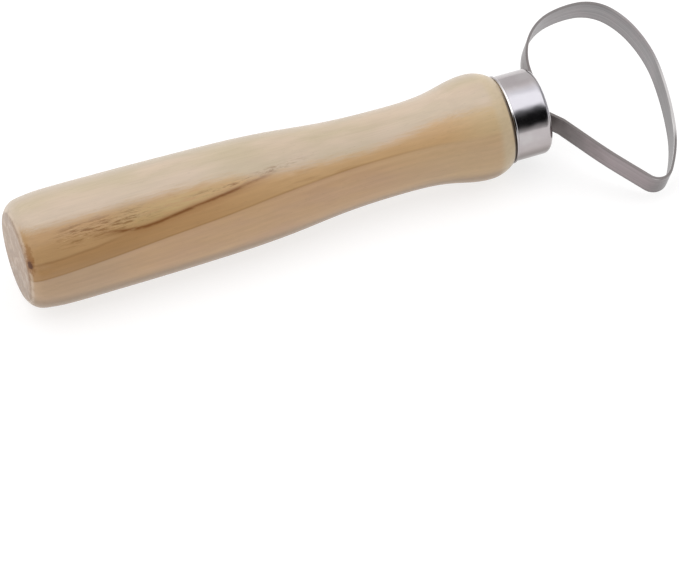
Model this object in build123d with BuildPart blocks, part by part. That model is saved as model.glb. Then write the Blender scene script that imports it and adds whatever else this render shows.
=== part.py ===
"""Ribbon loop tool for trimming clay: turned wooden handle, metal ferrule and bent steel strip.

Frame: +X runs along the handle from the butt to the loop, +Z is up, and the origin is the
centre of the butt's flat end.  The tool lies on its side, and the loop is rolled about X until
its low corner comes down beside the surface that the handle lies on.  Lengths are millimetres.
"""

import os

from build123d import *

# Handle outline: distances from the butt and the radii there
butt_face_radius = 10.6
butt_shoulder = (3.4, 13.4)
belly = (10.5, 14.0)
grip = (40.0, 13.72)
taper = (66.0, 12.6)
upper_waist = (79.5, 11.25)
waist = (93.0, 10.7)
neck = (107.0, 11.5)
bulb = (116.7, 13.1)
shoulder = (122.6, 11.0)

# Ferrule: a drawn steel cup with a beaded rear rim and a rounded front edge
ferrule_length = 9.7
ferrule_radius = 10.55
ferrule_wall = 0.5
ferrule_front_round = 1.6
bead_radius = 0.35
rim_gap = 0.3
opening_width = 6.0
opening_height = 12.0

# Wood inside the ferrule, and the mortise that takes the ends of the strip
glue_line = 0.05
tenon_end_gap = 0.2
tenon_chamfer = 0.8
mortise_depth = 26.0
mortise_width = 4.2
mortise_height = 9.6
glue_recess = 0.1

# Strip: flat spring steel
strip_width = 8.0
strip_thickness = 0.6

# The loop's plane is rolled about X.  In it, X starts at the ferrule's front and Y is across,
# and these points lie on the outside surface of the strip.
loop_roll = 20.0
tang_end = -24.0
tang_offset = 1.5
tang_bend_radius = 1.5
face_gap = 0.3
face_run_end = 8.5
heel = (1.9, 15.2)
bow_start = (5.3, 19.4)
bow_rise = (10.7, 22.0)
bow_top = (17.9, 22.5)
high_shoulder = (25.9, 18.4)
front_start = (29.3, 12.8)
front_tip = (31.6, 0.0)
front_turn = (29.8, -14.3)
front_end = (25.5, -24.5)
low_corner = (22.0, -29.8)
low_corner_radius = 3.8
arm_middle = (11.3, -16.7)
arm_bow_radius = 120.0
crease = (3.7, -6.0)
crease_radius = 2.0
low_exit = -0.9

shoulder_x = shoulder[0]
ferrule_rear = shoulder_x + rim_gap
ferrule_front = ferrule_rear + ferrule_length
ferrule_bore = ferrule_radius - ferrule_wall
bead_end = ferrule_rear + 2 * bead_radius
tenon_radius = ferrule_bore - glue_line
tenon_end = ferrule_front - ferrule_wall - tenon_end_gap

outline_plane = Plane.XY
loop_plane = Plane(origin=(ferrule_front, 0, 0)).rotated((loop_roll, 0, 0))


def cross_plane(x):
    """Plane across the handle at x: its Y lies in the loop's plane and its X is normal to it."""
    return Plane(origin=(x, 0, 0), x_dir=loop_plane.z_dir, z_dir=(1, 0, 0))


# The strip: one length of steel, both of whose ends are tangs inside the handle
with BuildPart() as ribbon_loop:
    with BuildSketch(loop_plane.offset(-strip_width / 2)):
        with BuildLine():
            run = FilletPolyline(
                (tang_end, tang_offset),
                (face_gap, tang_offset),
                (face_gap, face_run_end),
                radius=tang_bend_radius,
            )
            for point in (
                heel,
                bow_start,
                bow_rise,
                bow_top,
                high_shoulder,
                front_start,
                front_tip,
                front_turn,
                front_end,
            ):
                run = TangentArc(run @ 1, point, tangent=run % 1)
            FilletPolyline(
                front_end,
                low_corner,
                arm_middle,
                crease,
                (low_exit, -tang_offset),
                (tang_end, -tang_offset),
                radius=(low_corner_radius, arm_bow_radius, crease_radius, tang_bend_radius),
            )
            offset(amount=strip_thickness, side=Side.RIGHT)
        make_face()
    extrude(amount=strip_width)

# The handle: turned in one piece, with a tenon for the ferrule and a mortise in its end
with BuildPart() as handle:
    with BuildSketch(outline_plane):
        with BuildLine():
            Line((0, 0), (0, butt_face_radius))
            butt_curve = TangentArc(belly, butt_shoulder, tangent=(-1, 0))
            TangentArc(butt_shoulder, (0, butt_face_radius), tangent=butt_curve % 1)
            Spline(belly, grip, taper, upper_waist, waist, neck, bulb, tangents=((1, 0), (1, 0)))
            TangentArc(bulb, shoulder, tangent=(1, 0))
            Line(shoulder, (shoulder_x, tenon_radius))
            Line((shoulder_x, tenon_radius), (tenon_end - tenon_chamfer, tenon_radius))
            Line((tenon_end - tenon_chamfer, tenon_radius), (tenon_end, tenon_radius - tenon_chamfer))
            Line((tenon_end, tenon_radius - tenon_chamfer), (tenon_end, 0))
            Line((tenon_end, 0), (0, 0))
        make_face()
    revolve(axis=Axis.X)
    with BuildSketch(cross_plane(tenon_end)):
        SlotOverall(mortise_height, mortise_width)
    extrude(amount=-mortise_depth, mode=Mode.SUBTRACT)

# The ferrule: a cup over the tenon, open in front where the strip comes out
with BuildPart() as ferrule:
    with BuildSketch(outline_plane):
        with BuildLine():
            Line((ferrule_rear, ferrule_bore), (ferrule_rear, ferrule_radius))
            ThreePointArc(
                (ferrule_rear, ferrule_radius),
                (ferrule_rear + bead_radius, ferrule_radius + bead_radius),
                (bead_end, ferrule_radius),
            )
            Polyline(
                (bead_end, ferrule_radius),
                (ferrule_front, ferrule_radius),
                (ferrule_front, 0),
                (ferrule_front - ferrule_wall, 0),
                (ferrule_front - ferrule_wall, ferrule_bore),
                (ferrule_rear, ferrule_bore),
            )
        make_face()
        front_corners = vertices().group_by(Axis.X)[-2:]
        fillet(front_corners[1].sort_by(Axis.Y)[-1], radius=ferrule_front_round)
        fillet(front_corners[0].sort_by(Axis.Y)[-1], radius=ferrule_front_round - ferrule_wall)
    revolve(axis=Axis.X)
    with BuildSketch(cross_plane(ferrule_front)):
        SlotOverall(opening_height, opening_width)
    extrude(amount=-2 * ferrule_wall, mode=Mode.SUBTRACT)

# Cast epoxy that fills the mortise and the ferrule's opening around the two tangs
with BuildPart() as tang_glue:
    with BuildSketch(cross_plane(tenon_end)):
        SlotOverall(mortise_height, mortise_width)
    extrude(amount=-mortise_depth)
    with BuildSketch(cross_plane(tenon_end)):
        SlotOverall(opening_height, opening_width)
    extrude(amount=ferrule_front - glue_recess - tenon_end)
    add(ribbon_loop.part, mode=Mode.SUBTRACT)

os.makedirs("parts", exist_ok=True)
for name, piece in (
    ("handle", handle),
    ("ferrule", ferrule),
    ("ribbon_loop", ribbon_loop),
    ("tang_glue", tang_glue),
):
    piece.part.label = name
    export_step(piece.part, f"parts/{name}.step")
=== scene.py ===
"""Looks of a clay ribbon tool: a lacquered turned handle, a chromed ferrule and a loop of steel strip.

The tool lies along +X with the butt of its handle at x = 0. The scene is in metres. The materials are
solid patterns in the same frame, and every place and distance that they use is in millimetres.
"""
import math

import bmesh
import bpy
import numpy as np
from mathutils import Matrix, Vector, noise


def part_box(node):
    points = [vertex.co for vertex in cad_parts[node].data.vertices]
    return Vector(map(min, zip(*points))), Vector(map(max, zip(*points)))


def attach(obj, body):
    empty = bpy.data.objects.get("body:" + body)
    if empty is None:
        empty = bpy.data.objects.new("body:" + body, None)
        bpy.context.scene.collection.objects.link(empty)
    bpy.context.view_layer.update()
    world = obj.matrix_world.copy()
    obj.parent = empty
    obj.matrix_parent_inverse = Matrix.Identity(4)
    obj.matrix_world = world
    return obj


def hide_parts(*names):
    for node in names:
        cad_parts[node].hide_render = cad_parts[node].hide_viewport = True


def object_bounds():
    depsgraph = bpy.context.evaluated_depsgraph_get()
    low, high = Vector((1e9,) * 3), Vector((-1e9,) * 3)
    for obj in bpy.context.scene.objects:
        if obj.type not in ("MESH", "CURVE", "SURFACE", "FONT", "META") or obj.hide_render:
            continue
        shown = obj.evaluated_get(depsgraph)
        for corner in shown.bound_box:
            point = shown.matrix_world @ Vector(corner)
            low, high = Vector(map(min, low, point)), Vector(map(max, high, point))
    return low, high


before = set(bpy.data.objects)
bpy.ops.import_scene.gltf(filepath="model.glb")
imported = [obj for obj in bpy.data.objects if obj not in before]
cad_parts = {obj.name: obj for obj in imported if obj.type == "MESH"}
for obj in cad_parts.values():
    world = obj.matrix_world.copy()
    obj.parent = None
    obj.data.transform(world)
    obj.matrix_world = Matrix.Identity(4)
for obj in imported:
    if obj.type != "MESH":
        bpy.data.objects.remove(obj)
CAD_LOW, CAD_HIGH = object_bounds()
FERRULE_LOW, FERRULE_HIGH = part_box("ferrule")
_, LOOP_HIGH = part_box("ribbon_loop")

MM = 0.001


def linear(red, green, blue):
    """A colour given as it looks on a screen, from 0 to 255, as the linear colour that a shader takes."""
    def channel(value):
        share = value / 255
        return share / 12.92 if share <= 0.04045 else ((share + 0.055) / 1.055) ** 2.4

    return (channel(red), channel(green), channel(blue), 1.0)


# ---------------------------------------------------------------- node helpers

class Shader:
    """A material's node tree, with short ways to add the nodes that this script needs.

    A mask is a value from 0 to 1. Where a range is a pair, the mask is 0 at its first value and 1 at its
    second, and the first may be the higher one.
    """

    def __init__(self, tree):
        self.tree = tree

    def set_inputs(self, node, inputs):
        """Sets inputs of a node, each to a value or to another node's output socket."""
        for name, value in inputs.items():
            socket = node.inputs[name]
            if isinstance(value, bpy.types.NodeSocket):
                self.tree.links.new(value, socket)
            else:
                socket.default_value = value

    def node(self, kind, inputs=None, **settings):
        made = self.tree.nodes.new(kind)
        for name, value in settings.items():
            setattr(made, name, value)
        self.set_inputs(made, inputs or {})
        return made

    def math(self, operation, *values):
        return self.node("ShaderNodeMath", dict(enumerate(values)), operation=operation).outputs[0]

    def vector(self, operation, *values):
        return self.node("ShaderNodeVectorMath", dict(enumerate(values)), operation=operation).outputs[0]

    def product(self, first, *others):
        for other in others:
            first = self.math("MULTIPLY", first, other)
        return first

    def scaled(self, value, gain, offset):
        """value * gain + offset."""
        return self.math("MULTIPLY_ADD", value, gain, offset)

    def wobbled(self, value, noise_value, amount):
        """The value moved by the noise, by up to half the amount either way."""
        return self.math("ADD", value, self.scaled(noise_value, amount, -amount / 2))

    def brightness(self, noise_value, contrast):
        """A factor about 1 that the noise moves by up to half the contrast either way."""
        return self.scaled(noise_value, contrast, 1 - contrast / 2)

    def xyz(self, vector):
        return self.node("ShaderNodeSeparateXYZ", {0: vector}).outputs

    def length(self, vector):
        return self.node("ShaderNodeVectorMath", {0: vector}, operation="LENGTH").outputs["Value"]

    def dot(self, vector, axis):
        inputs = {0: vector, 1: axis}
        return self.node("ShaderNodeVectorMath", inputs, operation="DOT_PRODUCT").outputs["Value"]

    def facing_ahead(self):
        """How far the surface faces along +X, from -1 to 1."""
        return self.xyz(self.node("ShaderNodeNewGeometry").outputs["Normal"])[0]

    def noise(self, position, scale=1.0, detail=3.0, roughness=0.5):
        """Noise from 0 to 1, about 0.5 on average."""
        inputs = {"Vector": position, "Scale": scale, "Detail": detail, "Roughness": roughness}
        return self.node("ShaderNodeTexNoise", inputs).outputs["Fac"]

    def grain(self, position, along, around, **settings):
        """Noise with one scale along X and another across it, so that it is drawn out along one of them."""
        return self.noise(self.vector("MULTIPLY", position, (along, around, around)), **settings)

    def dots(self, position, along, around, radius):
        """A mask of scattered dots. The radius is a pair: where a dot fades out, and where it is full."""
        place = self.vector("MULTIPLY", position, (along, around, around))
        cells = self.node("ShaderNodeTexVoronoi", {"Vector": place, "Scale": 1.0})
        return self.step(cells.outputs["Distance"], *radius)

    def step(self, value, low, high):
        """0 below low, 1 above high and a smooth rise between them. It falls if low is above high."""
        inputs = {"Value": value, "From Min": low, "From Max": high}
        return self.node("ShaderNodeMapRange", inputs, interpolation_type="SMOOTHSTEP").outputs[0]

    def within(self, value, start, end):
        """The mask that two ranges leave between them."""
        return self.product(self.step(value, *start), self.step(value, *end))

    def line(self, value, width, centre=0.0):
        """1 where the value is at the centre, fading to 0 at width on each side."""
        away = self.math("ABSOLUTE", self.math("SUBTRACT", value, centre))
        return self.step(away, width, 0.0)

    def mix(self, factor, first, second, blend="MIX"):
        made = self.node("ShaderNodeMix", {0: factor}, data_type="RGBA", blend_type=blend)
        self.set_inputs(made, {6: first, 7: second})
        return made.outputs[2]

    def tint(self, colour, other, mask, strength):
        """The colour taken towards another one by the mask times the strength."""
        return self.mix(self.product(mask, strength), colour, other)

    def ramp(self, value, levels):
        """A grey that eases through (position, level) stops."""
        made = self.node("ShaderNodeValToRGB", {0: value})
        made.color_ramp.interpolation = "EASE"
        stops = made.color_ramp.elements
        while len(stops) < len(levels):
            stops.new(0.5)
        for stop, (place, level) in zip(stops, levels):
            stop.position = place
            stop.color = (level, level, level, 1.0)
        return made.outputs[0]

    def bump(self, height, distance, strength, normal=None):
        """A normal bent by a height, on top of another one if it is given. The distance is in metres."""
        inputs = {"Height": height, "Distance": distance, "Strength": strength}
        if normal is not None:
            inputs["Normal"] = normal
        return self.node("ShaderNodeBump", inputs).outputs[0]

    def curve(self, value, points, low=-16.0, high=16.0):
        """A smooth curve through a few (along the handle, height) points, with heights from low to high."""
        share = self.math("DIVIDE", value, points[-1][0])
        made = self.node("ShaderNodeFloatCurve", {"Value": share})
        mapped = made.mapping.curves[0].points
        places = [(x / points[-1][0], (height - low) / (high - low)) for x, height in points]
        while len(mapped) < len(places):
            mapped.new(0.5, 0.5)
        for point, place in zip(mapped, places):
            point.location = place
        made.mapping.update()
        return self.scaled(made.outputs[0], high - low, low)


def new_material(name):
    """A material with one Principled shader, as (material, helper, shader)."""
    material = bpy.data.materials.new(name)
    material.use_nodes = True
    shader = material.node_tree.nodes["Principled BSDF"]
    return material, Shader(material.node_tree), shader


def position_mm(s):
    """The shaded point in the row frame, in millimetres. Every piece's object is at the origin."""
    place = s.node("ShaderNodeTexCoord").outputs["Object"]
    return s.vector("MULTIPLY", place, (1 / MM, 1 / MM, 1 / MM))


# ---------------------------------------------------------------- wood

# The wood lies in nearly flat layers, and the direction through them is +Y turned by GRAIN_LEAN towards
# +Z. Heights are along that direction. LAYER_RISE is the height at which the heartwood meets the wood below
# it, as (along the handle, height) points, and the other curves are heights above that layer.
GRAIN_LEAN = math.radians(60)
LAYER_RISE = ((0, -3.1), (20, -1.65), (45, 0.15), (69, 1.9), (90, 2.25), (105, 1.95), (131, 1.2))
HEARTWOOD_TOP = ((0, 12.0), (12, 11.2), (30, 9.9), (50, 8.0), (60, 5.4), (72, 3.8), (90, 3.1),
                 (107, 5.6), (118, 6.5), (131, 6.5))
STREAK_HEIGHT = ((0, 7.4), (17, 6.5), (29, 4.4), (41, 4.7), (59, 5.1), (80, 4.9), (131, 4.9))
FINE_STREAK_HEIGHT = ((0, 9.8), (17, 9.0), (35, 7.6), (50, 6.3), (67, 5.8), (131, 5.0))
WEDGE_HEIGHT = ((0, 4.1), (20, 3.9), (28, 4.2), (41, 4.6), (59, 5.0), (131, 4.0))
RING_SPACING = 1.5

# How much the fibres stand up and the pores sink in the wood's bump, against each other.
FIBRE_HEIGHT, PORE_HEIGHT = 0.35, -0.6

SAPWOOD_YELLOW = linear(193, 178, 150)
SAPWOOD_PINK = linear(202, 183, 160)
# Painted highlight: the pinkish white that sapwood takes just above the heartwood, standing for the clear
# coat's gloss.
SAPWOOD_PAINTED_HIGHLIGHT = linear(212, 194, 176)
SAPWOOD_BACK = linear(184, 169, 150)
UNDERSIDE_PINK = linear(200, 164, 130)
UNDERSIDE_TAN = linear(204, 168, 128)
UNDERSIDE_BUTT = linear(187, 159, 129)
UNDERSIDE_BULB = linear(199, 171, 132)
# Painted shade: the colour that the underside darkens to towards the bottom of the handle.
UNDERSIDE_PAINTED_SHADE = linear(158, 131, 101)
HEARTWOOD_BUTT = linear(186, 149, 104)
HEARTWOOD_FRONT = linear(202, 166, 121)
HEARTWOOD_BULB = linear(204, 178, 137)
HEARTWOOD_LINE = linear(166, 126, 78)
# Yellower wood where the heartwood ends, and also a painted highlight on the bulb's front curve.
SHOULDER_YELLOW_AND_HIGHLIGHT = linear(202, 184, 152)
WEDGE_BUTT = linear(177, 137, 91)
WEDGE_MIDDLE = linear(187, 146, 99)
EDGE_BROWN = linear(150, 112, 66)
PALE_LINE = linear(216, 186, 146)
STREAK_BROWN = linear(124, 76, 36)
HALO_BROWN = linear(150, 104, 58)
# Yellower wood between the streaks, lightened further as a painted highlight of the gloss.
ISLAND_YELLOW_AND_HIGHLIGHT = linear(194, 168, 118)
FIGURE_BROWN = linear(136, 96, 54)
PALE_FLECK = linear(214, 188, 140)
END_GRAIN_DARK = linear(123, 92, 66)
END_GRAIN_PALE = linear(159, 129, 98)
END_GRAIN_RING = linear(124, 96, 71)
# Pale worn wood on the end face, and the painted highlight on the butt's rounded rim.
PALE_WEAR_AND_RIM_HIGHLIGHT = linear(226, 208, 186)
KNOT_BROWN = linear(88, 50, 24)
# Painted shade: the dark of the gap between the wood and the ferrule.
GAP_PAINTED_SHADE = linear(62, 46, 36)

# Ranges along the handle.
BUTT_UNDERSIDE = (30.0, 14.0)
BULB_UNDERSIDE = (80.0, 112.0)
FRONT_HEARTWOOD = (20.0, 70.0)
BULB_HEARTWOOD = (104.0, 118.0)
SOFT_LINES = ((55.0, 75.0), (98.0, 80.0))
# Where the painted highlight band above the heartwood is strong: near the butt and on the bulb.
PAINTED_HIGHLIGHT_AT_BUTT = (60.0, 40.0)
PAINTED_HIGHLIGHT_AT_BULB = (84.0, 100.0)
WEDGE = (76.0, 36.0)
MIDDLE_WEDGE = (20.0, 40.0)
WEDGE_LINE = (27.0, 18.0)
BLURRED_EDGE = (85.0, 108.0)
EDGE_LINE = (112.0, 84.0)
PALE_LINE_REACH = (50.0, 75.0)
# Where the yellower wood and the painted highlight on the bulb's front curve lie.
SHOULDER = (117.6, 119.8)
STREAK = ((14.0, 25.0), (66.0, 52.0))
ISLANDS = ((18.0, 28.0), (60.0, 46.0))
FINE_STREAK = ((38.0, 48.0), (76.0, 60.0))
FIGURE = ((5.0, 12.0), (38.0, 24.0))

# A range along the handle, from where the ferrule starts, where the gap's painted shade lies.
GAP_SHADE_END = (-1.0, -0.5)

# Ranges across the handle, in the height above a curve, in Z or in Y.
HEARTWOOD_FADE = (-1.6, 1.4)
# PAINTED_HIGHLIGHT_FADE is where the painted highlight band gives way to plain sapwood.
PAINTED_HIGHLIGHT_FADE = (2.0, 5.0)
WEDGE_FADE = (0.5, -0.5)
ISLAND_BOTTOM, ISLAND_TOP = (0.2, 1.4), (2.0, 0.0)
# Heights in Z over which the painted shade along the bottom of the handle comes in.
PAINTED_SHADE_UNDER_HANDLE = (-1.4, -4.9)
FAR_SIDE = (3.0, 8.0)
# GAP_SHADE_SIDE keeps the gap's painted shade to the -Y side.
GAP_SHADE_SIDE = (2.0, -5.0)

# Ranges of noise.
SAPWOOD_PATCHES = (0.35, 0.65)
SOFT_LINE_NOISE = (0.50, 0.64)
GAP_NOISE = (0.35, 0.55)
DARK_SPECKS = (0.47, 0.62)
PALE_SPECKS = (0.42, 0.32)
ISLAND_NOISE = (0.36, 0.56)
FIBRE_ENDS = (0.25, 0.75)
RING_CREST = (0.2, 1.0)
WORN_PATCHES = (0.42, 0.68)
WORN_EDGE_PATCHES = (0.30, 0.55)

# The butt's end face and its rim, by how far the surface faces along +X.
END_FACE = (-0.72, -0.98)
# The rim line at RIM_FACING is partly wear and partly a painted highlight.
RIM_FACING, RIM_WIDTH = -0.86, 0.12

# Spots at the edge of the butt: centre, what each axis is multiplied by, colour and strength.
TRAIL_PLACE = (0.9, -8.1, 8.7)
KNOT_PLACE = (0.64, -9.5, 6.9)
SPOTS = ((TRAIL_PLACE, (1.1, 0.30, 0.30), HALO_BROWN, 0.65),
         (KNOT_PLACE, (0.9, 0.36, 0.36), HALO_BROWN, 0.75),
         (KNOT_PLACE, (1.7, 0.72, 0.72), KNOT_BROWN, 0.9))
SPOT_RADIUS = (1.1, 0.5)


def lacquered_wood():
    """Pale wood with a brown heartwood streak, under a thin clear coat."""
    material, s, shader = new_material("lacquered_wood_detail")
    place = position_mm(s)
    along, across, _ = s.xyz(place)
    warp = s.grain(place, along=0.035, around=0.16)
    fine_warp = s.grain(place, along=0.20, around=0.9, detail=4.0, roughness=0.6)
    fibres = s.grain(place, along=0.045, around=2.6, detail=4.0, roughness=0.6)
    flecks = s.grain(place, along=0.28, around=2.2, detail=5.0, roughness=0.7)

    layer = s.dot(place, (0.0, math.cos(GRAIN_LEAN), math.sin(GRAIN_LEAN)))
    layer = s.math("SUBTRACT", layer, s.curve(along, LAYER_RISE))
    layer = s.wobbled(layer, warp, amount=0.4)
    wavy_layer = s.wobbled(layer, fine_warp, amount=0.6)
    rough_layer = s.wobbled(layer, flecks, amount=3.0)

    rings = s.math("SINE", s.product(wavy_layer, 2 * math.pi / RING_SPACING))
    pores = s.dots(place, along=0.25, around=2.3, radius=(0.16, 0.05))
    mottle = s.grain(place, along=0.14, around=0.6)
    tone = s.product(s.brightness(fibres, contrast=0.18), s.brightness(mottle, contrast=0.12),
                     s.scaled(rings, gain=0.012, offset=1.0), s.scaled(pores, gain=-0.13, offset=1.0))
    grey = s.node("ShaderNodeCombineColor", {0: tone, 1: tone, 2: tone}).outputs[0]

    colour = wood_zones(s, place, layer, wavy_layer, rough_layer)
    colour = wood_streaks(s, along, wavy_layer, fine_warp, flecks, colour)
    colour = s.mix(1.0, colour, grey, "MULTIPLY")
    colour = end_grain(s, place, rings, colour)
    colour = wood_marks(s, place, along, across, colour)

    height = s.math("ADD", s.product(fibres, FIBRE_HEIGHT), s.product(pores, PORE_HEIGHT))
    orange_peel = s.grain(place, along=0.9, around=1.3, roughness=0.6)
    s.set_inputs(shader, {
        "Base Color": colour,
        "Roughness": s.scaled(fibres, gain=0.12, offset=0.42),
        "Normal": s.bump(height, distance=0.03 * MM, strength=0.5),
        "Specular IOR Level": 0.15,
        "Coat Weight": 0.45,
        "Coat Roughness": 0.12,
        "Coat Normal": s.bump(orange_peel, distance=0.1 * MM, strength=0.7),
    })
    return material


def wood_zones(s, place, layer, wavy_layer, rough_layer):
    """Sapwood above, brown heartwood across the middle with a darker wedge low down, and pink-tan below,
    with a painted highlight band just above the heartwood, a painted highlight at the shoulder and painted
    shade along the bottom.
    """
    along, across, up = s.xyz(place)
    patches = s.step(s.grain(place, along=0.05, around=0.16, detail=2.0), *SAPWOOD_PATCHES)
    sapwood = s.mix(patches, SAPWOOD_YELLOW, SAPWOOD_PINK)
    sapwood = s.tint(sapwood, SAPWOOD_BACK, s.step(across, *FAR_SIDE), strength=0.65)
    underside = s.mix(patches, UNDERSIDE_PINK, UNDERSIDE_TAN)
    underside = s.tint(underside, UNDERSIDE_BUTT, s.step(along, *BUTT_UNDERSIDE), strength=0.6)
    underside = s.tint(underside, UNDERSIDE_BULB, s.step(along, *BULB_UNDERSIDE), strength=0.7)
    # Painted shade: the wood darkens towards the bottom of the handle.
    underside = s.mix(s.step(up, *PAINTED_SHADE_UNDER_HANDLE), underside, UNDERSIDE_PAINTED_SHADE)

    heartwood = s.mix(s.step(along, *FRONT_HEARTWOOD), HEARTWOOD_BUTT, HEARTWOOD_FRONT)
    heartwood = s.mix(s.step(along, *BULB_HEARTWOOD), heartwood, HEARTWOOD_BULB)
    soft_lines = s.step(s.grain(place, along=0.035, around=0.9), *SOFT_LINE_NOISE)
    soft_lines = s.product(soft_lines, s.within(along, *SOFT_LINES))
    heartwood = s.tint(heartwood, HEARTWOOD_LINE, soft_lines, strength=0.35)

    from_top = s.math("SUBTRACT", rough_layer, s.curve(along, HEARTWOOD_TOP))
    # Painted highlight: a band of sapwood just above the heartwood is lightened towards pinkish white, most
    # near the butt and on the bulb.
    painted_highlight_reach = s.math("ADD", s.step(along, *PAINTED_HIGHLIGHT_AT_BUTT), s.step(along, *PAINTED_HIGHLIGHT_AT_BULB))
    sapwood_with_painted_highlight = s.mix(s.scaled(painted_highlight_reach, gain=0.35, offset=0.15), sapwood, SAPWOOD_PAINTED_HIGHLIGHT)
    colour = s.mix(s.step(from_top, *HEARTWOOD_FADE), heartwood, sapwood_with_painted_highlight)
    colour = s.mix(s.step(from_top, *PAINTED_HIGHLIGHT_FADE), colour, sapwood)

    from_wedge_top = s.math("SUBTRACT", wavy_layer, s.curve(along, WEDGE_HEIGHT))
    wedge = s.product(s.step(from_wedge_top, *WEDGE_FADE), s.step(along, *WEDGE))
    wedge_colour = s.mix(s.step(along, *MIDDLE_WEDGE), WEDGE_BUTT, WEDGE_MIDDLE)
    colour = s.tint(colour, wedge_colour, wedge, strength=0.8)
    wedge_line = s.product(s.line(from_wedge_top, width=0.5), s.step(along, *WEDGE_LINE))
    colour = s.tint(colour, STREAK_BROWN, wedge_line, strength=0.3)

    blur = s.scaled(s.step(along, *BLURRED_EDGE), gain=0.7, offset=0.1)
    colour = s.mix(s.step(layer, s.product(blur, -1.0), blur), underside, colour)
    edge = s.product(s.line(layer, width=0.42, centre=0.1), s.step(along, *EDGE_LINE))
    colour = s.tint(colour, EDGE_BROWN, edge, strength=0.38)
    pale = s.product(s.line(layer, width=0.6, centre=-0.9), s.step(along, *PALE_LINE_REACH))
    colour = s.tint(colour, PALE_LINE, pale, strength=0.2)
    # Yellower wood plus a painted highlight across the bulb's front curve, before the shoulder.
    return s.tint(colour, SHOULDER_YELLOW_AND_HIGHLIGHT, s.step(along, *SHOULDER), strength=0.7)


def wood_streaks(s, along, wavy_layer, fine_warp, flecks, colour):
    """The dark streak with a soft brown edge under it, and the broken figure above it."""
    from_streak = s.math("SUBTRACT", wavy_layer, s.curve(along, STREAK_HEIGHT))
    from_fine = s.math("SUBTRACT", wavy_layer, s.curve(along, FINE_STREAK_HEIGHT))
    reach = s.within(along, *STREAK)
    gaps = s.scaled(s.step(fine_warp, *GAP_NOISE), gain=0.5, offset=0.5)
    specks = s.step(flecks, *DARK_SPECKS)
    pale_specks = s.step(flecks, *PALE_SPECKS)

    halo = s.product(s.line(from_streak, width=1.5, centre=-0.3), reach)
    colour = s.tint(colour, HALO_BROWN, halo, strength=0.35)
    core = s.product(s.line(from_streak, width=0.62), reach, gaps)
    colour = s.tint(colour, STREAK_BROWN, core, strength=0.9)

    # Yellower wood between the streaks, partly a painted highlight of the coat's gloss.
    island = s.product(s.step(from_streak, *ISLAND_BOTTOM), s.step(from_fine, *ISLAND_TOP),
                       s.within(along, *ISLANDS), s.step(flecks, *ISLAND_NOISE))
    colour = s.tint(colour, ISLAND_YELLOW_AND_HIGHLIGHT, island, strength=0.75)
    fine = s.product(s.line(from_fine, width=1.1), s.within(along, *FINE_STREAK), specks)
    colour = s.tint(colour, STREAK_BROWN, fine, strength=0.7)
    figure = s.product(s.line(from_fine, width=3.8, centre=-1.0), s.within(along, *FIGURE))
    colour = s.tint(colour, FIGURE_BROWN, s.product(figure, specks), strength=0.9)
    return s.tint(colour, PALE_FLECK, s.product(figure, pale_specks), strength=0.8)


def end_grain(s, place, rings, colour):
    """The butt's end face, duller and greyer, with ring lines and open fibre ends, and a light rim round its
    edge that is partly wear and partly a painted highlight.
    """
    facing = s.facing_ahead()
    fibre_ends = s.grain(place, along=1.0, around=2.2, detail=5.0, roughness=0.7)
    patches = s.grain(place, along=0.4, around=0.42, roughness=0.6)
    end_colour = s.mix(s.step(fibre_ends, *FIBRE_ENDS), END_GRAIN_DARK, END_GRAIN_PALE)
    end_colour = s.tint(end_colour, END_GRAIN_RING, s.step(rings, *RING_CREST), strength=0.3)
    end_colour = s.tint(end_colour, PALE_WEAR_AND_RIM_HIGHLIGHT, s.step(patches, *WORN_PATCHES), strength=0.3)
    colour = s.tint(colour, end_colour, s.step(facing, *END_FACE), strength=0.8)
    # Light rim round the butt: partly wear and partly a painted highlight.
    worn = s.product(s.line(facing, RIM_WIDTH, RIM_FACING), s.step(patches, *WORN_EDGE_PATCHES))
    return s.tint(colour, PALE_WEAR_AND_RIM_HIGHLIGHT, worn, strength=0.45)


def wood_marks(s, place, along, across, colour):
    """A small knot at the edge of the butt, and painted shade of the gap on the -Y side where the ferrule
    begins.
    """
    ragged = s.grain(place, along=1.5, around=1.1, detail=4.0, roughness=0.7)
    for centre, factors, spot_colour, strength in SPOTS:
        away = s.length(s.vector("MULTIPLY", s.vector("SUBTRACT", place, centre), factors))
        spot = s.step(s.wobbled(away, ragged, amount=1.8), *SPOT_RADIUS)
        colour = s.tint(colour, spot_colour, spot, strength)
    # Painted shade of the gap at the ferrule's rear end, on the -Y side.
    from_ferrule = s.math("SUBTRACT", along, FERRULE_LOW.x / MM)
    stain = s.product(s.step(from_ferrule, *GAP_SHADE_END), s.step(across, *GAP_SHADE_SIDE))
    return s.tint(colour, GAP_PAINTED_SHADE, stain, strength=0.85)


# ---------------------------------------------------------------- chrome, steel and glue

# The range of noise for broad, soft patches.
BROAD = (0.3, 0.7)

CHROME_GREY = linear(180, 174, 175)
CHROME_PALE = linear(186, 182, 182)
# Painted reflection: a bluish tint where the ferrule mirrors the overhead light.
CHROME_COOL_REFLECTION = linear(179, 179, 186)
# Painted reflection: the darker colour of the ferrule's lower half.
CHROME_DARKER_REFLECTION = linear(170, 160, 158)
# Painted shade: the reflection of the shadow under the tool, at the bottom of the ferrule.
CHROME_PAINTED_CONTACT_SHADE = linear(128, 120, 117)
# Painted highlight: the near-white line of light on the ferrule's rolled rear bead.
CHROME_BEAD_HIGHLIGHT = linear(246, 245, 246)

# Ranges in Y and Z over which the painted reflections, shade and highlight are laid on the plating.
BELOW = (3.0, -4.0)
LOWEST = (-0.5, -3.6)
REFLECTION_TINT_SIDE, REFLECTION_TINT_HEIGHT = (0.5, -2.5), (5.0, 7.5)
BEAD_SIDE, BEAD_HEIGHT = (4.5, -1.0), (2.5, 8.0)
BEAD_LENGTH, BEAD_FADE = 0.75, 0.2


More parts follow.
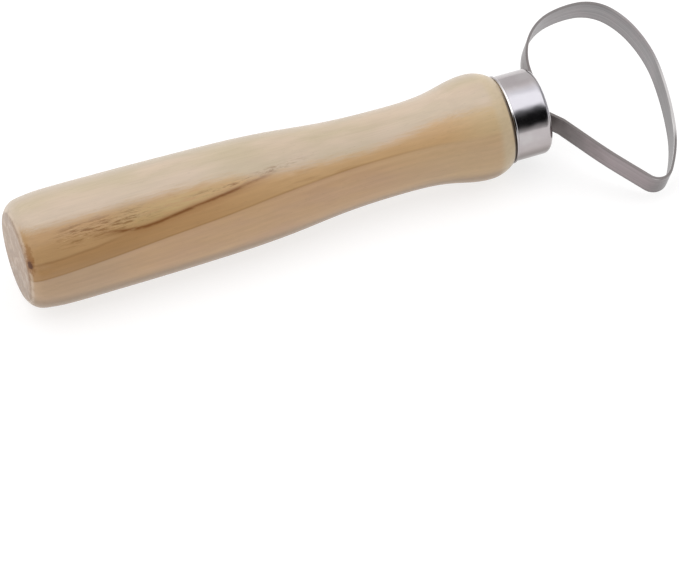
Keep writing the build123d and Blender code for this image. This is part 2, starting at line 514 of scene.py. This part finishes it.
def chrome():
    """Bright plated ferrule with faint rub marks and a slightly uneven wall, and painted light: a darker
    reflection below, painted contact shade at the bottom, a cool tint where it mirrors the overhead light
    and a painted highlight on the rear bead.
    """
    material, s, shader = new_material("chrome_detail")
    place = position_mm(s)
    along, across, up = s.xyz(place)
    smudges = s.grain(place, along=0.35, around=0.35)
    rubs = s.grain(place, along=6.0, around=0.35, detail=4.0, roughness=0.65)
    waves = s.grain(place, along=0.22, around=0.22, detail=1.0)

    colour = s.mix(s.step(smudges, *BROAD), CHROME_GREY, CHROME_PALE)
    # Painted reflection: the lower half darker.
    colour = s.tint(colour, CHROME_DARKER_REFLECTION, s.step(up, *BELOW), strength=0.8)
    # Painted reflection: the bright band's bluish tint.
    cool_reflection = s.product(s.step(across, *REFLECTION_TINT_SIDE), s.step(up, *REFLECTION_TINT_HEIGHT))
    colour = s.tint(colour, CHROME_COOL_REFLECTION, cool_reflection, strength=0.8)
    # Painted contact shade along the bottom of the ferrule.
    colour = s.tint(colour, CHROME_PAINTED_CONTACT_SHADE, s.step(up, *LOWEST), strength=0.85)
    # Painted highlight along the rear bead, on the lit side.
    bead_end = FERRULE_LOW.x / MM + BEAD_LENGTH
    bead = s.product(s.step(along, bead_end, bead_end - BEAD_FADE), s.step(up, *BEAD_HEIGHT),
                     s.step(across, *BEAD_SIDE))
    colour = s.tint(colour, CHROME_BEAD_HIGHLIGHT, bead, strength=0.9)

    roughness = s.math("ADD", s.scaled(smudges, gain=0.06, offset=0.11), s.product(rubs, 0.04))
    fine = s.bump(rubs, distance=0.004 * MM, strength=0.4)
    s.set_inputs(shader, {
        "Base Color": colour,
        "Metallic": 1.0,
        "Roughness": roughness,
        "Normal": s.bump(waves, distance=0.4 * MM, strength=0.35, normal=fine),
    })
    return material


STEEL_DARK = linear(124, 122, 123)
STEEL_PALE = linear(148, 145, 146)
STEEL_PINK = linear(156, 140, 142)
STEEL_STAIN = linear(68, 54, 50)
STEEL_RIM = linear(102, 99, 98)
STEEL_LINE = linear(176, 171, 169)
# Near white for the worn inner edge and for the painted highlights on the strip's edges.
STEEL_WORN_AND_HIGHLIGHT = linear(240, 239, 238)

# The strip's width is along +Z rolled by LOOP_ROLL about X.
LOOP_ROLL = math.radians(20)
STRIP_HALF_WIDTH = 4.0
LINES_ACROSS, LINES_ALONG = 3.2, 0.03
RIM_RAGGEDNESS = 0.3
# How much the painted highlight lifts the dark rim on the top edge.
HIGHLIGHT_EDGE_STRENGTH = 0.6

# Each part of the loop has a range aside, in Y, and one in front of the ferrule or behind the loop's tip.
# The low arm is on the -Y side, and the heel is where the strip leaves the ferrule on the +Y side.
LOW_ARM_ASIDE, LOW_ARM_BEHIND_TIP = (-6.0, -14.0), (6.0, 14.0)
STAIN_ASIDE, STAIN_FROM_FRONT = (0.0, -3.0), (14.5, 2.0)
HEEL_START, HEEL_END, HEEL_FROM_FRONT = (4.0, 8.0), (17.0, 11.0), (8.0, 5.0)
CORNER_ASIDE, CORNER_BEHIND_TIP = (4.0, -2.0), (14.0, 10.5)
# Where the painted highlight on the top edge lies.
HIGHLIGHT_EDGE_ASIDE, HIGHLIGHT_EDGE_BEHIND_TIP = (-19.0, -15.5), (9.0, 4.0)
EDGE_HIGHLIGHT_ASIDE = (4.0, -4.0)
# Where the light inner edge, partly wear and partly painted highlight, lies.
WORN_ASIDE, WORN_BEHIND_TIP = (-10.0, -15.0), (14.0, 8.0)

# Ranges of noise.
PINK_CLOUDS = (0.4, 0.7)
DARK_BANDS, PALE_BANDS = (0.50, 0.34), (0.54, 0.66)

# Ranges in the distance past the strip's edge, which is below 0 on the strip.
RIM = (-0.5, 0.1)
# EDGE_HIGHLIGHT_RIM is the band of the painted highlight on the rim; WORN_RIM is the light inner edge,
# partly wear and partly painted highlight.
EDGE_HIGHLIGHT_RIM = (-0.25, -0.05)
WORN_RIM = (-0.65, -0.35)

# A range across the strip's width, and one of how far the surface faces along +X.
TOP_HALF = (0.0, 1.0)
FACING_BACK = (-0.1, -0.5)


def strip_steel():
    """Rolled stainless strip: fine lines along its length, darker edges and stains beside the ferrule."""
    material, s, shader = new_material("strip_steel_detail")
    place = position_mm(s)
    along, aside, _ = s.xyz(place)
    across = s.dot(place, (0.0, -math.sin(LOOP_ROLL), math.cos(LOOP_ROLL)))
    drawn_out = s.node("ShaderNodeCombineXYZ", {0: s.product(across, LINES_ACROSS),
                                                1: s.product(along, LINES_ALONG),
                                                2: s.product(aside, LINES_ALONG)}).outputs[0]
    rolling = s.noise(drawn_out, detail=5.0, roughness=0.7)
    bands = s.grain(drawn_out, along=0.34, around=0.5, detail=2.0)
    clouds = s.grain(place, along=0.22, around=0.22)
    from_front = s.math("SUBTRACT", along, FERRULE_HIGH.x / MM)
    behind_tip = s.math("SUBTRACT", LOOP_HIGH.x / MM, along)

    colour = s.mix(s.step(rolling, *BROAD), STEEL_DARK, STEEL_PALE)
    colour = s.tint(colour, STEEL_PINK, s.step(clouds, *PINK_CLOUDS), strength=0.2)
    low_arm = s.product(s.step(aside, *LOW_ARM_ASIDE), s.step(behind_tip, *LOW_ARM_BEHIND_TIP))
    colour = s.tint(colour, STEEL_PINK, low_arm, strength=0.6)
    stain = s.step(s.wobbled(from_front, clouds, amount=6.0), *STAIN_FROM_FRONT)
    stain = s.product(stain, s.step(aside, *STAIN_ASIDE))
    heel = s.product(s.within(aside, HEEL_START, HEEL_END), s.step(from_front, *HEEL_FROM_FRONT))
    colour = s.tint(colour, STEEL_STAIN, s.scaled(heel, gain=0.6, offset=stain), strength=0.8)
    heel_line = s.product(s.line(across, width=1.5, centre=-0.3), s.step(aside, *HEEL_START),
                          s.step(from_front, *HEEL_FROM_FRONT))
    colour = s.tint(colour, STEEL_STAIN, heel_line, strength=0.55)
    dull_corner = s.product(s.step(behind_tip, *CORNER_BEHIND_TIP), s.step(aside, *CORNER_ASIDE))
    colour = s.tint(colour, STEEL_RIM, dull_corner, strength=0.5)
    colour = s.tint(colour, STEEL_RIM, s.step(bands, *DARK_BANDS), strength=0.3)
    colour = s.tint(colour, STEEL_LINE, s.step(bands, *PALE_BANDS), strength=0.18)

    s.set_inputs(shader, {
        "Base Color": strip_edges(s, place, across, aside, behind_tip, heel, colour),
        "Metallic": 1.0,
        "Roughness": s.scaled(rolling, gain=0.16, offset=0.26),
        "Normal": s.bump(rolling, distance=0.02 * MM, strength=0.5),
    })
    return material


def strip_edges(s, place, across, aside, behind_tip, heel, colour):
    """The strip's dark edges, with a painted highlight on the top edge where the loop runs down away from
    the handle, and a light inner edge that is partly wear and partly a painted highlight.
    """
    specks = s.grain(place, along=1.6, around=1.6, detail=4.0, roughness=0.7)
    to_rim = s.math("SUBTRACT", s.math("ABSOLUTE", across), STRIP_HALF_WIDTH)
    rim = s.step(s.math("ADD", to_rim, s.product(specks, RIM_RAGGEDNESS)), *RIM)
    top = s.step(across, *TOP_HALF)
    # Painted highlight: the top edge that faces the overhead light is kept light.
    highlight_edge = s.product(s.step(behind_tip, *HIGHLIGHT_EDGE_BEHIND_TIP), top, s.step(aside, *HIGHLIGHT_EDGE_ASIDE))
    darkness = s.scaled(heel, gain=-0.45, offset=0.75)
    darkness = s.math("SUBTRACT", darkness, s.product(highlight_edge, HIGHLIGHT_EDGE_STRENGTH))
    colour = s.mix(s.product(rim, darkness), colour, STEEL_RIM)
    # Painted highlight along the rim of that top edge.
    edge_highlight = s.product(highlight_edge, s.step(to_rim, *EDGE_HIGHLIGHT_RIM), s.step(aside, *EDGE_HIGHLIGHT_ASIDE))
    colour = s.tint(colour, STEEL_WORN_AND_HIGHLIGHT, edge_highlight, strength=0.3)
    # The light inner edge: partly wear and partly a painted highlight.
    inner_edge = s.product(s.step(to_rim, *WORN_RIM), s.step(s.facing_ahead(), *FACING_BACK), top)
    worn = s.product(inner_edge, s.step(behind_tip, *WORN_BEHIND_TIP), s.step(aside, *WORN_ASIDE))
    return s.tint(colour, STEEL_WORN_AND_HIGHLIGHT, worn, strength=0.95)


EPOXY_DARK = linear(88, 62, 38)
EPOXY_AMBER = linear(122, 92, 60)
EPOXY_BUBBLE = linear(170, 146, 112)


def epoxy():
    """Hard amber glue with a wavy skin and small bubbles."""
    material, s, shader = new_material("epoxy_detail")
    place = position_mm(s)
    clouds = s.grain(place, along=0.9, around=0.9)
    bubbles = s.dots(place, along=1.6, around=1.6, radius=(0.14, 0.06))
    colour = s.mix(s.step(clouds, *BROAD), EPOXY_DARK, EPOXY_AMBER)
    s.set_inputs(shader, {
        "Base Color": s.tint(colour, EPOXY_BUBBLE, bubbles, strength=0.6),
        "Roughness": s.scaled(clouds, gain=0.2, offset=0.12),
        "Normal": s.bump(clouds, distance=0.3 * MM, strength=0.6),
    })
    return material


# ---------------------------------------------------------------- the turned handle

LATHE_STEP = 0.6 * MM
LATHE_SIDES = 144

# The CAD handle's vertices are read in slices of CAD_SLICE. Those nearer the axis than TENON_SHARE of the
# ferrule's radius belong to the tenon or the mortise.
CAD_SLICE = 0.25 * MM
TENON_SHARE = 0.97
OUTLINE_SAMPLES = 4000
BUTT_RINGS = (0.0, 0.2, 0.4, 0.6, 0.8)
SHARP_SHOULDER = 0.3 * MM
TOUCHING = 0.001 * MM

# What sanding and turning took off: the most of each, and how fast it varies along the handle, for each
# millimetre, and round it.
UNEVENNESS = 0.10 * MM
UNEVENNESS_ALONG, UNEVENNESS_AROUND = 0.045, 0.9
TURNING_RIPPLE = 0.02 * MM
RIPPLE_ALONG, RIPPLE_OFFSET = 0.55, 3.7

# Small dings in the wood: millimetres along the handle, degrees round it from +Y, radius and depth.
DINGS = ((3.2, 151, 1.0, 0.22), (46, 262, 1.6, 0.12), (71, 20, 1.3, 0.10), (98, 305, 1.2, 0.10))
DING_STRETCH = 1.8


def handle_outline(node):
    """The turned outline of the handle as (x, radius), from the butt's centre to the tenon's centre."""
    vertices = np.array([v.co for v in node.data.vertices])
    radii = np.hypot(vertices[:, 1], vertices[:, 2])
    widest_tenon = FERRULE_HIGH.z * TENON_SHARE
    shoulder = vertices[radii > widest_tenon, 0].max()
    outside = {}
    for x, radius in zip(vertices[:, 0], radii):
        part = round(x / CAD_SLICE)
        if x <= shoulder + TOUCHING and radius > outside.get(part, (0.0, 0.0))[1]:
            outside[part] = (x, radius)
    known = [outside[part] for part in sorted(outside) if outside[part][1] > widest_tenon]
    xs, rs = np.array(known).T
    fine_xs = np.linspace(xs[0], xs[-1], OUTLINE_SAMPLES)
    fine_rs = cubic_through(xs, rs, fine_xs)
    run = np.concatenate([[0.0], np.cumsum(np.hypot(np.diff(fine_xs), np.diff(fine_rs)))])
    stations = np.linspace(0.0, run[-1], int(run[-1] / LATHE_STEP))
    turned = list(zip(np.interp(stations, run, fine_xs), np.interp(stations, run, fine_rs)))
    butt = [(0.0, turned[0][1] * share) for share in BUTT_RINGS]

    end = vertices[:, 0].max()
    tenon = [(x, radius) for x, radius in zip(vertices[:, 0], radii) if x > shoulder + TOUCHING]
    tenon_radius = max(radius for _, radius in tenon)
    chamfer_start = min(x for x, _ in tenon)
    end_radius = max(radius for x, radius in tenon if x > end - TOUCHING)
    peg = [(shoulder, tenon_radius), (chamfer_start, tenon_radius), (end, end_radius), (end, 0.0)]
    return butt + turned + peg


def cubic_through(xs, ys, wanted):
    """A smooth curve through the points (xs, ys), read at the wanted places."""
    slopes = np.gradient(ys, xs)
    right = np.clip(np.searchsorted(xs, wanted), 1, len(xs) - 1)
    left = right - 1
    width = xs[right] - xs[left]
    t = (wanted - xs[left]) / width
    ease = t * t * (3 - 2 * t)
    bend_left = t * (1 - t) ** 2 * width * slopes[left]
    bend_right = -t * t * (1 - t) * width * slopes[right]
    return ys[left] * (1 - ease) + ys[right] * ease + bend_left + bend_right


def hand_worn(x, angle, radius):
    """The radius less what turning, sanding and use have taken off there."""
    along = x / MM
    spot = Vector((along * UNEVENNESS_ALONG, math.cos(angle) * UNEVENNESS_AROUND,
                   math.sin(angle) * UNEVENNESS_AROUND))
    sanded = 0.5 + 0.5 * noise.noise(spot)
    ripple = 0.5 + 0.5 * noise.noise(Vector((along * RIPPLE_ALONG, RIPPLE_OFFSET, 0.0)))
    taken = UNEVENNESS * sanded + TURNING_RIPPLE * ripple
    for ding_x, ding_angle, size, depth in DINGS:
        turn = (math.degrees(angle) - ding_angle + 180) % 360 - 180
        away = math.hypot((along - ding_x) / DING_STRETCH, math.radians(turn) * radius / MM)
        taken += depth * MM * math.exp(-((away / size) ** 2))
    return radius - taken


def lathe_ring(mesh, x, radius):
    """The vertices of one ring of the handle, or its one vertex where the radius is 0."""
    if radius == 0.0:
        return [mesh.verts.new((x, 0.0, 0.0))]
    ring = []
    for side in range(LATHE_SIDES):
        angle = 2 * math.pi * side / LATHE_SIDES
        worn = hand_worn(x, angle, radius)
        ring.append(mesh.verts.new((x, worn * math.cos(angle), worn * math.sin(angle))))
    return ring


def turned_handle(node):
    """The handle as a fine lathed mesh with the CAD handle's outline, tenon and mortise."""
    mesh = bmesh.new()
    rings = [lathe_ring(mesh, x, radius) for x, radius in handle_outline(node)]
    for first, second in zip(rings, rings[1:]):
        for side in range(LATHE_SIDES):
            after = (side + 1) % LATHE_SIDES
            if len(first) == 1:
                mesh.faces.new((first[0], second[after], second[side]))
            elif len(second) == 1:
                mesh.faces.new((second[0], first[side], first[after]))
            else:
                mesh.faces.new((first[side], first[after], second[after], second[side]))
    bmesh.ops.recalc_face_normals(mesh, faces=mesh.faces)
    made = new_piece("turned_handle", mesh)
    cut_mortise(made)
    smooth_end = FERRULE_LOW.x - SHARP_SHOULDER
    for polygon in made.data.polygons:
        polygon.use_smooth = polygon.center.x < smooth_end
    return made


def cut_mortise(handle):
    """Cuts the slot for the loop's ends, with the outline that the glue's inner end has."""
    glue = [v.co.copy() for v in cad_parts["tang_glue"].data.vertices]
    floor = min(co.x for co in glue)
    outline = [co for co in glue if co.x < floor + TOUCHING]
    mesh = bmesh.new()
    for x in (floor, FERRULE_HIGH.x):
        for co in outline:
            mesh.verts.new((x, co.y, co.z))
    bmesh.ops.convex_hull(mesh, input=mesh.verts)
    cutter = new_piece("mortise_cutter", mesh)
    cut = handle.modifiers.new("mortise", "BOOLEAN")
    cut.operation = "DIFFERENCE"
    cut.solver = "EXACT"
    cut.object = cutter
    graph = bpy.context.evaluated_depsgraph_get()
    handle.data = bpy.data.meshes.new_from_object(handle.evaluated_get(graph))
    handle.modifiers.clear()
    bpy.data.objects.remove(cutter)


def new_piece(name, mesh):
    """An object in the scene with this bmesh as its mesh."""
    data = bpy.data.meshes.new(name)
    mesh.to_mesh(data)
    mesh.free()
    made = bpy.data.objects.new(name, data)
    bpy.context.scene.collection.objects.link(made)
    return made


# ---------------------------------------------------------------- the strip's edges

EDGE_RADIUS = 0.22 * MM
EDGE_SEGMENTS = 3
SHARPEST_SMOOTH_BEND = math.radians(50)


def round_edges(piece):
    """Rounds a CAD node's sharp edges with a modifier, and leaves its mesh as it is."""
    bevel = piece.modifiers.new("rounded_edges", "BEVEL")
    bevel.width = EDGE_RADIUS
    bevel.segments = EDGE_SEGMENTS
    bevel.limit_method = "ANGLE"
    bevel.angle_limit = SHARPEST_SMOOTH_BEND


# ---------------------------------------------------------------- stage

# The photograph's long, high view, from in front of the tool and to the left of it. It is aimed in front
# of the tool, because the photograph has more below the tool than above it.
CAMERA_AZIMUTH = math.radians(-20.9)
CAMERA_ELEVATION = math.radians(49.1)
CAMERA_DISTANCE = 1.2163
CAMERA_AIM = (CAD_LOW + CAD_HIGH) / 2 + Vector((-14.7, -34.5, 0.0)) * MM
LENS = 275.7
SENSOR_WIDTH = 36.0

FLOOR_HALF = 4.0
FLOOR_GREY = linear(154, 153, 153)
FLOOR_PALE = linear(160, 160, 160)
FLOOR_GLOW = 0.76

# The room's brightness by angle, in degrees, from behind the tool over its top to in front of it: pale
# walls behind, a long light overhead and a dark place where the camera stands.
ROOM_LIGHT = ((0, 0.86), (42, 0.90), (66, 1.30), (84, 1.78), (112, 1.78), (127, 0.10),
              (136, 0.005), (160, 0.005), (180, 0.50))
ROOM_TINT = (1.0, 0.985, 0.99, 1.0)
SIDE_WALL_GREY = (0.5, 0.5, 0.5, 1.0)

# How far aside a direction points where a side wall starts, and where it is whole.
SIDE_WALLS = (0.80, 0.97)


def camera():
    """The camera, at the photograph's angle."""
    back = Vector((math.sin(CAMERA_AZIMUTH) * math.cos(CAMERA_ELEVATION),
                   -math.cos(CAMERA_AZIMUTH) * math.cos(CAMERA_ELEVATION), math.sin(CAMERA_ELEVATION)))
    data = bpy.data.cameras.new("camera")
    data.sensor_width = SENSOR_WIDTH
    data.lens = LENS
    made = bpy.data.objects.new("camera", data)
    bpy.context.scene.collection.objects.link(made)
    made.location = CAMERA_AIM + back * CAMERA_DISTANCE
    made.rotation_mode = "QUATERNION"
    made.rotation_quaternion = (-back).to_track_quat("-Z", "Y")
    bpy.context.scene.camera = made


def pale_floor():
    """A wide white table that glows a little, as a lit product table does."""
    mesh = bmesh.new()
    corners = ((-1, -1), (1, -1), (1, 1), (-1, 1))
    mesh.faces.new([mesh.verts.new((x * FLOOR_HALF, y * FLOOR_HALF, CAD_LOW.z)) for x, y in corners])
    floor = new_piece("floor", mesh)
    material, s, shader = new_material("floor")
    tone = s.noise(s.node("ShaderNodeTexCoord").outputs["Object"], scale=3.0, detail=2.0)
    s.set_inputs(shader, {
        "Base Color": s.mix(tone, FLOOR_GREY, FLOOR_PALE),
        "Roughness": 0.9,
        "Specular IOR Level": 0.0,
        "Emission Color": (1.0, 1.0, 1.0, 1.0),
        "Emission Strength": FLOOR_GLOW,
    })
    floor.data.materials.append(material)


def studio():
    """A soft room as the world, with its light shared out by ROOM_LIGHT."""
    world = bpy.data.worlds.new("studio")
    world.use_nodes = True
    bpy.context.scene.world = world
    s = Shader(world.node_tree)
    aside, behind, above = s.xyz(s.node("ShaderNodeTexCoord").outputs["Generated"])
    over_the_top = s.math("DIVIDE", s.math("ARCTAN2", above, behind), math.pi)
    room = s.ramp(over_the_top, [(angle / 180, level) for angle, level in ROOM_LIGHT])
    room = s.mix(s.step(s.math("ABSOLUTE", aside), *SIDE_WALLS), room, SIDE_WALL_GREY)
    room = s.mix(1.0, room, ROOM_TINT, "MULTIPLY")
    s.set_inputs(world.node_tree.nodes["Background"], {"Color": room})


# ---------------------------------------------------------------- the scene

bpy.context.scene.view_settings.view_transform = "Standard"
camera()
pale_floor()
studio()

handle = turned_handle(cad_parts["handle"])
handle.data.materials.clear()
handle.data.materials.append(lacquered_wood())
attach(handle, "root")
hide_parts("handle")

for node, finish in (("ferrule", chrome), ("ribbon_loop", strip_steel), ("tang_glue", epoxy)):
    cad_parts[node].material_slots[0].link = "OBJECT"
    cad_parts[node].material_slots[0].material = finish()

round_edges(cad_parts["ribbon_loop"])
